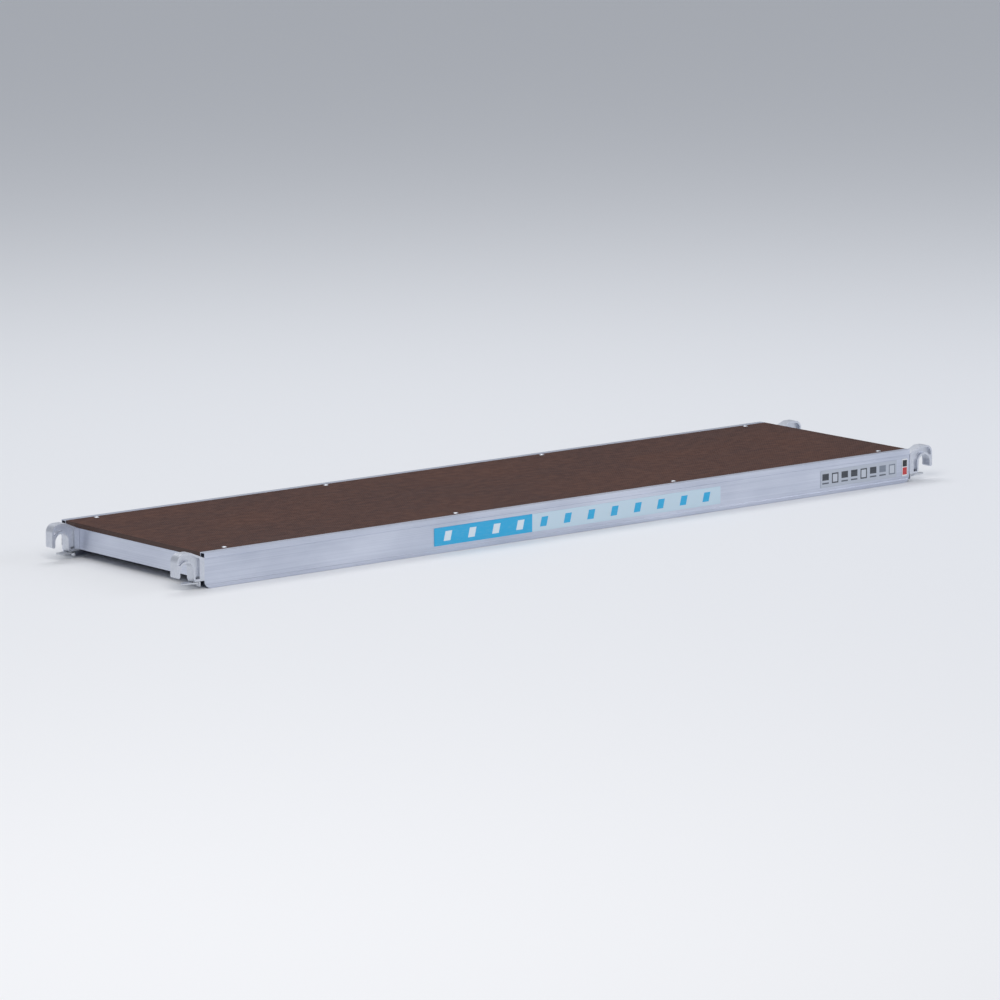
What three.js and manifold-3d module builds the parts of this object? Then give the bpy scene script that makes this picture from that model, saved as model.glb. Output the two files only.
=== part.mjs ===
// Scaffold plank: a framed platform deck with a claw hook near each corner that hangs on a tower's rungs.
// Millimetres, +Z up. X runs along the plank and -Y is the side of the labelled rail.
// The origin is at the middle of the plank, level with the underside of its side rails.
import * as THREE from "three";
import { mergeVertices } from "three/addons/utils/BufferGeometryUtils.js";
import Module from "manifold-3d";

const wasm = await Module();
wasm.setup();

// ---- Driving dimensions --------------------------------------------------------------------------------
const BAY_LENGTH = 2500; // between the axes of the two rungs
const OVERALL_WIDTH = 604; // over the outer faces of the side rails
const RUNG_DIAMETER = 40;
const DECK_ABOVE_RUNG_AXIS = 40; // top of the side rails over the rung axis
const FIT_GAP = 0.3; // between faces that bear on each other

// Side rail: an extrusion with a hollow lip, a ledge under the board, a web and a bottom flange.
const RAIL_HEIGHT = 90;
const RAIL_WALL = 2;
const LIP_WIDTH = 18;
const LEDGE_REACH = 48; // from the outer face
const LEDGE_THICKNESS = 3;
const LEDGE_RETURN = 6.5; // how far the ledge's edge turns down
const WEB_RECESS = 1.2;
const TOP_BAND_BELOW_LEDGE = 1.5; // the top band's lower edge, measured up from the ledge's underside
const BOTTOM_BAND = 9;
const FLANGE_REACH = 36;
const FLANGE_THICKNESS = 3;
const FLANGE_RETURN_TOP = 12; // height of the flange's turned-up edge
const RAIL_CORNER_RADIUS = 20; // lower corners at the rail's ends

// Board and its rivets.
const DECK_THICKNESS = 12;
const LIP_PROUD_OF_DECK = 0.2;
const DECK_SIDE_CLEARANCE = 0.5;
const DECK_CORNER_RADIUS = 3;
const DECK_RIVETS_PER_SIDE = 4;
const DECK_RIVET_END_INSET = 86;
const DECK_RIVET_SIDE_INSET = 33; // from the rail's outer face
const DECK_RIVET_SHANK = 6;
const DECK_RIVET_HEAD = 14;
const DECK_RIVET_HEAD_HEIGHT = 2;
const DECK_RIVET_TAIL = 11;
const DECK_RIVET_TAIL_HEIGHT = 3;
const HOLE_CLEARANCE = 0.8; // a hole over its shank, on diameter

// Beams across the frame.
const BEAM_WALL = 2;
const END_BEAM_WIDTH = 40;
const BEAM_ABOVE_FLANGE_RETURN = 12;
const CROSS_MEMBER_COUNT = 3;
const CROSS_MEMBER_WIDTH = 30;
const CROSS_MEMBER_HEIGHT = 40;

// Hook: a casting that is a claw over the rung, with a mounting pad against the end beam.
const HOOK_WIDTH = 28;
const FRONT_HOOK_INSET = 14; // hook centre from the front rail's outer face
const BACK_HOOK_INSET = 63; // hook centre from the back rail's outer face
const SEAT_CLEARANCE = 0.5; // seat radius over the rung's
const SEAT_FACETS = 15; // odd, so that one facet is level at the crown
const CROWN_THICKNESS = 24.5;
const CROWN_RADIUS = 22;
const CROWN_FLAT = 20; // length of the level top
const CLAW_LIP = 9.5;
const LIP_DROP = 15; // claw tip below the rung axis
const MOUTH_LEAD_IN = 3.5;
const MOUTH_LEAD_IN_HEIGHT = 9;
const HOOK_RIM = 5.5;
const POCKET_DEPTH = 8;
const POCKET_START_ANGLE = THREE.MathUtils.degToRad(150);
const PAD_THICKNESS = 15;
const LUG_THICKNESS = 6;
const LUG_WINDOW_HEIGHT = 6;

// Bolts that hold a hook to its end beam.
const BOLT_SHANK = 8;
const BOLT_HEAD_ACROSS_FLATS = 13;
const BOLT_HEAD_HEIGHT = 5.3;
const BOLT_GRIP_IN_HOOK = 11;
const BOLT_HOLE_DEPTH = 13;
const BOLT_SPACING = 17;
const BOLT_WASHER_DIAMETER = 16;
const BOLT_WASHER_THICKNESS = 1.6;

// Wind lock: a flat catch that turns on an upright rivet and closes under the rung.
const LOCK_GAP_UNDER_RUNG = 11;
const LOCK_THICKNESS = 4;
const LOCK_HUB_RADIUS = 11;
const LOCK_TIP_RADIUS = 7;
const LOCK_PAST_RUNG_AXIS = 8;
const LOCK_TAIL = 14;
const LOCK_TAB_THICKNESS = 3.5;
const LOCK_TAB_DROP = 9;
const PIVOT_SHANK = 8;
const PIVOT_HEAD = 13;
const PIVOT_TAIL = 11;
const PIVOT_HEAD_HEIGHT = 2.8;
const PIVOT_TAIL_HEIGHT = 2.5;
const PIVOT_TAIL_CLEARANCE = 0.85; // to the window's two ends
const LOCK_WASHER_DIAMETER = 18;
const LOCK_WASHER_THICKNESS = 1.4;

// Decals on the front rail.
const DECAL_THICKNESS = 0.6;
const DECAL_HEIGHT = 47;
const DECAL_CORNER_RADIUS = 2;
const STRIP_LENGTH = 975;
const STRIP_OFFSET = 20; // strip's middle from the plank's middle
const INFO_LABEL_LENGTH = 280;
const INFO_LABEL_END_INSET = 48; // from the rail's right-hand end
const END_MARKER_LENGTH = 20;
const END_MARKER_END_INSET = 8;

// ---- Places worked out from the dimensions -------------------------------------------------------------
const seatRadius = RUNG_DIAMETER / 2 + SEAT_CLEARANCE;
const rungAxisX = BAY_LENGTH / 2;
const rungAxisZ = RAIL_HEIGHT - DECK_ABOVE_RUNG_AXIS;
const windowOutboard = seatRadius + HOOK_RIM; // the lug's window, inboard of the rung axis
const pivotInboard = windowOutboard + PIVOT_TAIL_CLEARANCE + PIVOT_TAIL / 2;
const pocketInboard = pivotInboard + PIVOT_TAIL / 2 + PIVOT_TAIL_CLEARANCE;
const padFace = pocketInboard + PAD_THICKNESS;
const frameEnd = rungAxisX - padFace - FIT_GAP; // ends of the rails, the board and the end beams
const halfWidth = OVERALL_WIDTH / 2;

const deckTop = RAIL_HEIGHT - LIP_PROUD_OF_DECK;
const deckUnderside = deckTop - DECK_THICKNESS;
const ledgeTop = deckUnderside - FIT_GAP;
const ledgeUnderside = ledgeTop - LEDGE_THICKNESS;
const webInner = WEB_RECESS + RAIL_WALL; // web's inner face from the rail's outer face
const topBandEdge = ledgeUnderside + TOP_BAND_BELOW_LEDGE;
const beamHalfLength = halfWidth - webInner - FIT_GAP;
const copeUnderside = ledgeUnderside - LEDGE_RETURN - FIT_GAP;
const endBeamBottom = FLANGE_RETURN_TOP + BEAM_ABOVE_FLANGE_RETURN;

const boltHeights = [-0.5, 0.5].map(
  (step) => (endBeamBottom + copeUnderside) / 2 + step * BOLT_SPACING,
);
const lockTop = rungAxisZ - RUNG_DIAMETER / 2 - LOCK_GAP_UNDER_RUNG;
const lugBottom = lockTop + LOCK_WASHER_THICKNESS + 2 * FIT_GAP;

// ---- Finishes ------------------------------------------------------------------------------------------
const finish = (color, roughness, metalness) =>
  new THREE.MeshStandardMaterial({ color, roughness, metalness });
const extrudedAluminium = finish(0xb4bccb, 0.42, 0.9);
const castAluminium = finish(0xa9afbb, 0.55, 0.85);
const filmFacedPlywood = finish(0x543f3b, 0.6, 0);
const zincPlatedSteel = finish(0xc3c6ca, 0.35, 0.9);
const rivetAluminium = finish(0xd2d5da, 0.35, 0.9);
const blueDecal = finish(0x4eb0d0, 0.4, 0);
const paleDecal = finish(0xe4e8ea, 0.45, 0);

// ---- Solids --------------------------------------------------------------------------------------------
const ROUND_SEGMENTS = 16;
const ARC_SEGMENTS = 3;
const ALONG_X = new THREE.Matrix4().makeBasis(
  new THREE.Vector3(0, 1, 0),
  new THREE.Vector3(0, 0, 1),
  new THREE.Vector3(1, 0, 0),
);
const ALONG_MINUS_Y = new THREE.Matrix4().makeBasis(
  new THREE.Vector3(1, 0, 0),
  new THREE.Vector3(0, 0, 1),
  new THREE.Vector3(0, -1, 0),
);

// A closed geometry as a solid that can be joined and cut.
function solid(geometry) {
  const bare = new THREE.BufferGeometry();
  bare.setAttribute("position", geometry.getAttribute("position"));
  bare.setIndex(geometry.index);
  const merged = mergeVertices(bare, 1e-4);
  return new wasm.Manifold(
    new wasm.Mesh({
      numProp: 3,
      vertProperties: merged.attributes.position.array,
      triVerts: new Uint32Array(merged.index.array),
    }),
  );
}

function geometryOf(body) {
  const { vertProperties, triVerts } = body.getMesh();
  const geometry = new THREE.BufferGeometry();
  geometry.setAttribute("position", new THREE.BufferAttribute(vertProperties, 3));
  geometry.setIndex(new THREE.BufferAttribute(triVerts, 1));
  geometry.computeVertexNormals();
  return geometry;
}

// An outline pushed along the frame's third axis, centred on it.
function extrude(shape, depth, frame = new THREE.Matrix4()) {
  return new THREE.ExtrudeGeometry(shape, {
    depth,
    bevelEnabled: false,
    curveSegments: ARC_SEGMENTS,
  })
    .translate(0, 0, -depth / 2)
    .applyMatrix4(frame);
}

function box(from, to) {
  const size = to.clone().sub(from);
  const middle = from.clone().add(to).multiplyScalar(0.5);
  return solid(
    new THREE.BoxGeometry(size.x, size.y, size.z).translate(middle.x, middle.y, middle.z),
  );
}

function uprightRod(diameter, bottom, top, x = 0, y = 0) {
  return solid(
    new THREE.CylinderGeometry(diameter / 2, diameter / 2, top - bottom, ROUND_SEGMENTS)
      .rotateX(Math.PI / 2)
      .translate(x, y, (bottom + top) / 2),
  );
}

function rodAlongX(diameter, from, to, z = 0) {
  return solid(
    new THREE.CylinderGeometry(diameter / 2, diameter / 2, to - from, ROUND_SEGMENTS)
      .rotateZ(Math.PI / 2)
      .translate((from + to) / 2, 0, z),
  );
}

// A ring or stepped pin about +Z, from a closed outline of [radius, height] points.
function turned(points) {
  return new THREE.LatheGeometry(
    points.map(([radius, height]) => new THREE.Vector2(radius, height)),
    ROUND_SEGMENTS,
  ).rotateX(Math.PI / 2);
}

const polygon = (points) =>
  new THREE.Shape(points.map(([x, y]) => new THREE.Vector2(x, y)));

function roundedRectangle(width, height, radius) {
  const shape = new THREE.Shape();
  const x = width / 2 - radius;
  const y = height / 2 - radius;
  shape.absarc(x, y, radius, 0, Math.PI / 2);
  shape.absarc(-x, y, radius, Math.PI / 2, Math.PI);
  shape.absarc(-x, -y, radius, Math.PI, 1.5 * Math.PI);
  shape.absarc(x, -y, radius, 1.5 * Math.PI, 2 * Math.PI);
  return shape;
}

// ---- Side rails ----------------------------------------------------------------------------------------
// The section, with x inwards from the outer face and y up from the underside.
function railSection() {
  const section = polygon([
    [0, 0],
    [FLANGE_REACH, 0],
    [FLANGE_REACH, FLANGE_RETURN_TOP],
    [FLANGE_REACH - FLANGE_THICKNESS, FLANGE_RETURN_TOP],
    [FLANGE_REACH - FLANGE_THICKNESS, FLANGE_THICKNESS],
    [webInner, FLANGE_THICKNESS],
    [webInner, ledgeUnderside],
    [LEDGE_REACH - LEDGE_THICKNESS, ledgeUnderside],
    [LEDGE_REACH - LEDGE_THICKNESS, ledgeUnderside - LEDGE_RETURN],
    [LEDGE_REACH, ledgeUnderside - LEDGE_RETURN],
    [LEDGE_REACH, ledgeTop],
    [LIP_WIDTH, ledgeTop],
    [LIP_WIDTH, RAIL_HEIGHT],
    [0, RAIL_HEIGHT],
    [0, topBandEdge],
    [WEB_RECESS, topBandEdge - WEB_RECESS],
    [WEB_RECESS, BOTTOM_BAND + WEB_RECESS],
    [0, BOTTOM_BAND],
  ]);
  section.holes.push(
    polygon([
      [RAIL_WALL, ledgeTop],
      [RAIL_WALL, RAIL_HEIGHT - RAIL_WALL],
      [LIP_WIDTH - RAIL_WALL, RAIL_HEIGHT - RAIL_WALL],
      [LIP_WIDTH - RAIL_WALL, ledgeTop],
    ]),
  );
  return section;
}

// The side view of a rail, square at the top and rounded at its lower corners.
function railSilhouette() {
  const shape = new THREE.Shape();
  const x = frameEnd - RAIL_CORNER_RADIUS;
  shape.moveTo(frameEnd, RAIL_HEIGHT);
  shape.lineTo(-frameEnd, RAIL_HEIGHT);
  shape.absarc(-x, RAIL_CORNER_RADIUS, RAIL_CORNER_RADIUS, Math.PI, 1.5 * Math.PI);
  shape.absarc(x, RAIL_CORNER_RADIUS, RAIL_CORNER_RADIUS, 1.5 * Math.PI, 2 * Math.PI);
  return shape;
}

const deckRivetPitch =
  (2 * (frameEnd - DECK_RIVET_END_INSET)) / (DECK_RIVETS_PER_SIDE - 1);
const deckRivetPlaces = Array.from(
  { length: DECK_RIVETS_PER_SIDE },
  (_, i) => DECK_RIVET_END_INSET - frameEnd + i * deckRivetPitch,
);
const deckRivetY = halfWidth - DECK_RIVET_SIDE_INSET;

// The front rail in place; the back rail is this one turned half round.
function sideRail() {
  let rail = solid(extrude(railSection(), 2 * frameEnd, ALONG_X).translate(0, -halfWidth, 0));
  rail = rail.intersect(solid(extrude(railSilhouette(), 2 * OVERALL_WIDTH, ALONG_MINUS_Y)));
  for (const x of deckRivetPlaces)
    rail = rail.subtract(
      uprightRod(DECK_RIVET_SHANK + HOLE_CLEARANCE, ledgeUnderside - 1, ledgeTop + 1, x, -deckRivetY),
    );
  return geometryOf(rail);
}

// ---- Board ---------------------------------------------------------------------------------------------
function deckBoard() {
  const width = OVERALL_WIDTH - 2 * (LIP_WIDTH + DECK_SIDE_CLEARANCE);
  let board = solid(
    extrude(roundedRectangle(2 * frameEnd, width, DECK_CORNER_RADIUS), DECK_THICKNESS),
  ).translate([0, 0, deckUnderside + DECK_THICKNESS / 2]);
  for (const x of deckRivetPlaces)
    for (const y of [-deckRivetY, deckRivetY])
      board = board.subtract(
        uprightRod(DECK_RIVET_SHANK + HOLE_CLEARANCE, deckUnderside - 1, deckTop + 1, x, y),
      );
  return geometryOf(board);
}

// One rivet: a shallow dome on the board, a shank, and a tail set against the ledge.
function deckRivet() {
  const shank = DECK_RIVET_SHANK / 2;
  const head = DECK_RIVET_HEAD / 2;
  const tail = DECK_RIVET_TAIL / 2;
  const headUnderside = deckTop + FIT_GAP;
  const tailTop = ledgeUnderside - FIT_GAP;
  return turned([
    [0, tailTop - DECK_RIVET_TAIL_HEIGHT],
    [tail, tailTop - DECK_RIVET_TAIL_HEIGHT],
    [tail, tailTop],
    [shank, tailTop],
    [shank, headUnderside],
    [head, headUnderside],
    [0.8 * head, headUnderside + 0.6 * DECK_RIVET_HEAD_HEIGHT],
    [0.4 * head, headUnderside + 0.92 * DECK_RIVET_HEAD_HEIGHT],
    [0, headUnderside + DECK_RIVET_HEAD_HEIGHT],
  ]);
}

// ---- Beams across the frame ----------------------------------------------------------------------------
// A rectangular tube along Y between the webs, its top notched at both ends to clear the rails' ledges.
function crossTube(width, bottom) {
  const height = ledgeTop - bottom;
  const section = polygon([
    [-width / 2, bottom],
    [width / 2, bottom],
    [width / 2, ledgeTop],
    [-width / 2, ledgeTop],
  ]);
  section.holes.push(
    polygon([
      [-width / 2 + BEAM_WALL, bottom + BEAM_WALL],
      [-width / 2 + BEAM_WALL, bottom + height - BEAM_WALL],
      [width / 2 - BEAM_WALL, bottom + height - BEAM_WALL],
      [width / 2 - BEAM_WALL, bottom + BEAM_WALL],
    ]),
  );
  let tube = solid(extrude(section, 2 * beamHalfLength, ALONG_MINUS_Y));
  const notchFrom = halfWidth - LEDGE_REACH - FIT_GAP;
  for (const side of [-1, 1]) {
    const ends = [side * notchFrom, side * halfWidth].sort((a, b) => a - b);
    tube = tube.subtract(
      box(
        new THREE.Vector3(-width, ends[0], copeUnderside),
        new THREE.Vector3(width, ends[1], ledgeTop + 1),
      ),
    );
  }
  return tube;
}

const hookPlaces = [
  { side: "front", y: FRONT_HOOK_INSET - halfWidth, inward: 1 },
  { side: "back", y: halfWidth - BACK_HOOK_INSET, inward: -1 },
];

// The left end beam about its own middle plane, drilled for the hooks' bolts.
function endBeam() {
  let beam = crossTube(END_BEAM_WIDTH, endBeamBottom);
  for (const { y } of hookPlaces)
    for (const z of boltHeights)
      beam = beam.subtract(
        rodAlongX(BOLT_SHANK + HOLE_CLEARANCE, -END_BEAM_WIDTH, END_BEAM_WIDTH, z).translate([0, y, 0]),
      );
  return geometryOf(beam);
}

// ---- Hooks ---------------------------------------------------------------------------------------------
// Outlines with x inboard from the rung axis and y up from it.
const crownTop = seatRadius + CROWN_THICKNESS;
const clawOuter = -seatRadius - CLAW_LIP;
const crownCentre = [clawOuter + CROWN_RADIUS, crownTop - CROWN_RADIUS];
const shoulder = [crownCentre[0] + CROWN_FLAT, crownTop];
const padTop = deckUnderside - rungAxisZ;
const padBottom = lugBottom - rungAxisZ;

function hookOutline() {
  const shape = new THREE.Shape();
  const tip = [-seatRadius - CLAW_LIP / 2, CLAW_LIP / 2 - LIP_DROP];
  shape.absarc(...crownCentre, CROWN_RADIUS, Math.PI / 2, Math.PI);
  shape.absarc(...tip, CLAW_LIP / 2, Math.PI, 2 * Math.PI);
  for (let i = 0; i <= SEAT_FACETS; i += 1) {
    const angle = Math.PI * (1 - i / SEAT_FACETS);
    shape.lineTo(seatRadius * Math.cos(angle), seatRadius * Math.sin(angle));
  }
  shape.lineTo(seatRadius, padBottom + MOUTH_LEAD_IN_HEIGHT);
  shape.lineTo(seatRadius + MOUTH_LEAD_IN, padBottom);
  shape.lineTo(padFace, padBottom);
  shape.lineTo(padFace, padTop);
  shape.lineTo(...shoulder);
  return shape;
}

// The pocket sunk into each side, a rim's width inside the outline and clear of the mounting pad.
function pocketOutline() {
  const shape = new THREE.Shape();
  const slope = (padTop - shoulder[1]) / (padFace - shoulder[0]);
  const rimDrop = HOOK_RIM * Math.hypot(1, slope);
  const pocketTop = crownTop - HOOK_RIM;
  const slopeTop = (x) => shoulder[1] + slope * (x - shoulder[0]) - rimDrop;
  const bend = shoulder[0] + (pocketTop - slopeTop(shoulder[0])) / slope;
  shape.absarc(0, 0, windowOutboard, POCKET_START_ANGLE, 0, true);
  shape.lineTo(windowOutboard, padBottom + LUG_THICKNESS);
  shape.lineTo(pocketInboard, padBottom + LUG_THICKNESS);
  shape.lineTo(pocketInboard, slopeTop(pocketInboard));
  shape.lineTo(bend, pocketTop);
  shape.absarc(...crownCentre, CROWN_RADIUS - HOOK_RIM, Math.PI / 2, Math.PI);
  return shape;
}

// A hook about its rung axis, for the left end: inboard is +X.
function hook() {
  let body = solid(extrude(hookOutline(), HOOK_WIDTH, ALONG_MINUS_Y));
  const pocket = solid(extrude(pocketOutline(), POCKET_DEPTH + 1, ALONG_MINUS_Y));
  for (const side of [-1, 1])
    body = body.subtract(pocket.translate([0, (side * (HOOK_WIDTH - POCKET_DEPTH + 1)) / 2, 0]));
  const windowBottom = padBottom + LUG_THICKNESS;
  body = body.subtract(
    box(
      new THREE.Vector3(windowOutboard, -HOOK_WIDTH, windowBottom),
      new THREE.Vector3(pocketInboard, HOOK_WIDTH, windowBottom + LUG_WINDOW_HEIGHT),
    ),
  );
  body = body.subtract(
    uprightRod(PIVOT_SHANK + HOLE_CLEARANCE, padBottom - 1, windowBottom + 1, pivotInboard),
  );
  for (const z of boltHeights)
    body = body.subtract(
      rodAlongX(BOLT_SHANK + HOLE_CLEARANCE, padFace - BOLT_HOLE_DEPTH, padFace + 1, z - rungAxisZ),
    );
  return geometryOf(body);
}

// ---- Bolts ---------------------------------------------------------------------------------------------
const beamInboard = padFace + FIT_GAP + END_BEAM_WIDTH; // inner face of the end beam, from the rung axis
const washerInboard = beamInboard + FIT_GAP;
const headInboard = washerInboard + BOLT_WASHER_THICKNESS + FIT_GAP;

// A bolt along X, for the left end: its head is inboard.
function hookBolt() {
  const shank = rodAlongX(BOLT_SHANK, padFace - BOLT_GRIP_IN_HOOK, headInboard + 1);
  const corner = BOLT_HEAD_ACROSS_FLATS / 2 / Math.cos(Math.PI / 6);
  const head = solid(
    new THREE.CylinderGeometry(corner, corner, BOLT_HEAD_HEIGHT, 6)
      .rotateZ(Math.PI / 2)
      .translate(headInboard + BOLT_HEAD_HEIGHT / 2, 0, 0),
  );
  return geometryOf(shank.add(head));
}

function boltWasher() {
  const from = washerInboard;
  const to = washerInboard + BOLT_WASHER_THICKNESS;
  return geometryOf(
    rodAlongX(BOLT_WASHER_DIAMETER, from, to).subtract(
      rodAlongX(BOLT_SHANK + HOLE_CLEARANCE, from - 1, to + 1),
    ),
  );
}

// ---- Wind locks ----------------------------------------------------------------------------------------
// A catch about its pivot, for the left end: the finger points outboard, along -X.
function windLock() {
  const reach = pivotInboard + LOCK_PAST_RUNG_AXIS - LOCK_TIP_RADIUS;
  const tangent = Math.acos((LOCK_HUB_RADIUS - LOCK_TIP_RADIUS) / reach);
  const tailAngle = Math.asin(LOCK_TIP_RADIUS / LOCK_HUB_RADIUS);
  const outline = new THREE.Shape();
  outline.absarc(-reach, 0, LOCK_TIP_RADIUS, Math.PI - tangent, Math.PI + tangent);
  outline.absarc(0, 0, LOCK_HUB_RADIUS, Math.PI + tangent, 2 * Math.PI - tailAngle);
  outline.lineTo(LOCK_TAIL, -LOCK_TIP_RADIUS);
  outline.lineTo(LOCK_TAIL, LOCK_TIP_RADIUS);
  outline.absarc(0, 0, LOCK_HUB_RADIUS, tailAngle, Math.PI - tangent);
  const lockBottom = lockTop - LOCK_THICKNESS;
  const plate = solid(extrude(outline, LOCK_THICKNESS)).translate([0, 0, lockTop - LOCK_THICKNESS / 2]);
  const tab = box(
    new THREE.Vector3(LOCK_TAIL - LOCK_TAB_THICKNESS, -LOCK_TIP_RADIUS, lockBottom - LOCK_TAB_DROP),
    new THREE.Vector3(LOCK_TAIL, LOCK_TIP_RADIUS, lockBottom + 1),
  );
  return geometryOf(
    plate.add(tab).subtract(uprightRod(PIVOT_SHANK + HOLE_CLEARANCE, lockBottom - 1, lockTop + 1)),
  );
}

// The rivet a catch turns on: head below the catch, tail set in the hook's window.
function pivotRivet() {
  const headTop = lockTop - LOCK_THICKNESS - FIT_GAP;
  const tailBottom = lugBottom + LUG_THICKNESS + FIT_GAP;
  return turned([
    [0, headTop - PIVOT_HEAD_HEIGHT],
    [0.7 * (PIVOT_HEAD / 2), headTop - PIVOT_HEAD_HEIGHT],
    [PIVOT_HEAD / 2, headTop - 0.4 * PIVOT_HEAD_HEIGHT],
    [PIVOT_HEAD / 2, headTop],
    [PIVOT_SHANK / 2, headTop],
    [PIVOT_SHANK / 2, tailBottom],
    [PIVOT_TAIL / 2, tailBottom],
    [PIVOT_TAIL / 2, tailBottom + PIVOT_TAIL_HEIGHT],
    [0, tailBottom + PIVOT_TAIL_HEIGHT],
  ]);
}

function lockWasher() {
  const inner = (PIVOT_SHANK + HOLE_CLEARANCE) / 2;
  const outer = LOCK_WASHER_DIAMETER / 2;
  const bottom = lockTop + FIT_GAP;
  const top = bottom + LOCK_WASHER_THICKNESS;
  return turned([
    [inner, bottom],
    [outer, bottom],
    [outer, top],
    [inner, top],
    [inner, bottom],
  ]);
}

// ---- Decals --------------------------------------------------------------------------------------------
const recessMiddle = (BOTTOM_BAND + topBandEdge) / 2;
const decalY = -halfWidth + WEB_RECESS - FIT_GAP - DECAL_THICKNESS / 2;

function decal(name, length, x, material) {
  const outline = roundedRectangle(length, DECAL_HEIGHT, DECAL_CORNER_RADIUS);
  return piece(name, extrude(outline, DECAL_THICKNESS, ALONG_MINUS_Y), material, [x, decalY, recessMiddle]);
}

// ---- Assembly ------------------------------------------------------------------------------------------
function piece(name, geometry, material, place = [0, 0, 0]) {
  const mesh = new THREE.Mesh(geometry, material);
  mesh.name = name;
  mesh.position.set(...place);
  return mesh;
}

const plank = new THREE.Group();

const railGeometry = sideRail();
const backRail = piece("side_rail_back", railGeometry, extrudedAluminium);
backRail.rotation.z = Math.PI;
plank.add(piece("side_rail_front", railGeometry, extrudedAluminium), backRail);
plank.add(piece("deck_board", deckBoard(), filmFacedPlywood));

const crossMemberGeometry = geometryOf(
  crossTube(CROSS_MEMBER_WIDTH, ledgeTop - CROSS_MEMBER_HEIGHT),
);
["left", "centre", "right"].forEach((where, i) => {
  const x = -frameEnd + ((i + 1) * 2 * frameEnd) / (CROSS_MEMBER_COUNT + 1);
  plank.add(piece(`cross_member_${where}`, crossMemberGeometry, extrudedAluminium, [x, 0, 0]));
});

const deckRivetGeometry = deckRivet();
deckRivetPlaces.forEach((x, i) => {
  plank.add(piece(`deck_rivet_front_${i + 1}`, deckRivetGeometry, rivetAluminium, [x, -deckRivetY, 0]));
  plank.add(piece(`deck_rivet_back_${i + 1}`, deckRivetGeometry, rivetAluminium, [x, deckRivetY, 0]));
});

const beamGeometry = endBeam();
const hookGeometry = hook();
const boltGeometry = hookBolt();
const boltWasherGeometry = boltWasher();
const windLockGeometry = windLock();
const pivotRivetGeometry = pivotRivet();
const lockWasherGeometry = lockWasher();

// A hook with its bolts and its wind lock, about the rung axis of the left end.
function hookSet(corner, outward) {
  const set = new THREE.Group();
  set.add(piece(`hook_${corner}`, hookGeometry, castAluminium, [0, 0, rungAxisZ]));
  ["lower", "upper"].forEach((level, i) => {
    const place = [0, 0, boltHeights[i]];
    set.add(piece(`hook_bolt_${corner}_${level}`, boltGeometry, zincPlatedSteel, place));
    set.add(piece(`bolt_washer_${corner}_${level}`, boltWasherGeometry, zincPlatedSteel, place));
  });
  const pivot = [pivotInboard, 0, 0];
  set.add(piece(`wind_lock_${corner}`, windLockGeometry, zincPlatedSteel, pivot));
  set.add(piece(`wind_lock_rivet_${corner}`, pivotRivetGeometry, zincPlatedSteel, pivot));
  set.add(piece(`wind_lock_washer_${corner}`, lockWasherGeometry, zincPlatedSteel, pivot));
  set.rotation.z = outward < 0 ? 0 : Math.PI;
  return set;
}

for (const [end, outward] of [
  ["left", -1],
  ["right", 1],
]) {
  const beamX = outward * (frameEnd - END_BEAM_WIDTH / 2);
  plank.add(piece(`end_beam_${end}`, beamGeometry, extrudedAluminium, [beamX, 0, 0]));
  for (const { side, y } of hookPlaces) {
    const set = hookSet(`${end}_${side}`, outward);
    set.position.set(outward * rungAxisX, y, 0);
    plank.add(set);
  }
}

plank.add(decal("decal_strip", STRIP_LENGTH, STRIP_OFFSET, blueDecal));
plank.add(
  decal("info_label", INFO_LABEL_LENGTH, frameEnd - INFO_LABEL_END_INSET - INFO_LABEL_LENGTH / 2, paleDecal),
);
plank.add(
  decal("end_marker", END_MARKER_LENGTH, frameEnd - END_MARKER_END_INSET - END_MARKER_LENGTH / 2, paleDecal),
);

export default plank;
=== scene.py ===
"""Scaffold plank: a framed platform deck with a claw hook near each corner.

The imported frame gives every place. This script dresses it: extruded rails with
worked edges, a film-faced board, cast hooks, zinc-plated catches and weld beads.
Lengths are in metres, +X runs along the plank and -Y is the labelled side.
"""

import logging
import math
from contextlib import contextmanager
from dataclasses import dataclass, field
from enum import Enum
from typing import Callable, Iterator, Sequence

import bmesh
import bpy
from mathutils import Matrix, Vector


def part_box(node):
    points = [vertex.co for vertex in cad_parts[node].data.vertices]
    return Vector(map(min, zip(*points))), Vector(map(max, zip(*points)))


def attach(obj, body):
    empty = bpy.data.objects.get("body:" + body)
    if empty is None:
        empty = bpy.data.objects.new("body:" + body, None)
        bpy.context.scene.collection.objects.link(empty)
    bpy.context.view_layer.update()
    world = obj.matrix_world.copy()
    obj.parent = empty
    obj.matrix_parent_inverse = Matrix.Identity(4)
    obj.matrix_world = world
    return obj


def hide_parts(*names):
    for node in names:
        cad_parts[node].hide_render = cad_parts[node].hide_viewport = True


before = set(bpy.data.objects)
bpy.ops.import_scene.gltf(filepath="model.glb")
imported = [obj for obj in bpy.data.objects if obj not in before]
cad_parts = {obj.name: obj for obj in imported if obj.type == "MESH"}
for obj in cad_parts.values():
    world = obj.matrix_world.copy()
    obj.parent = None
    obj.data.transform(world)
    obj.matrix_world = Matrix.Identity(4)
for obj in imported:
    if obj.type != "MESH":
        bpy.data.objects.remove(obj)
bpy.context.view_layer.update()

log = logging.getLogger("scaffold_plank")

Tree = bpy.types.NodeTree
Node = bpy.types.Node
Socket = bpy.types.NodeSocket
Piece = bpy.types.Object

MM = 0.001
FIXED_BODY = "frame"


class Run(Enum):
    """The way that an extruded or drawn piece left its die."""

    ALONG_X = (1, 0, 0)
    ALONG_Y = (0, 1, 0)


class Facing(Enum):
    """A name with the way that it faces along its axis."""

    @property
    def label(self) -> str:
        """The name, as node names have it."""
        return self.value[0]

    @property
    def outward(self) -> int:
        """-1 or 1, the way this faces along its axis."""
        return self.value[1]


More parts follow.
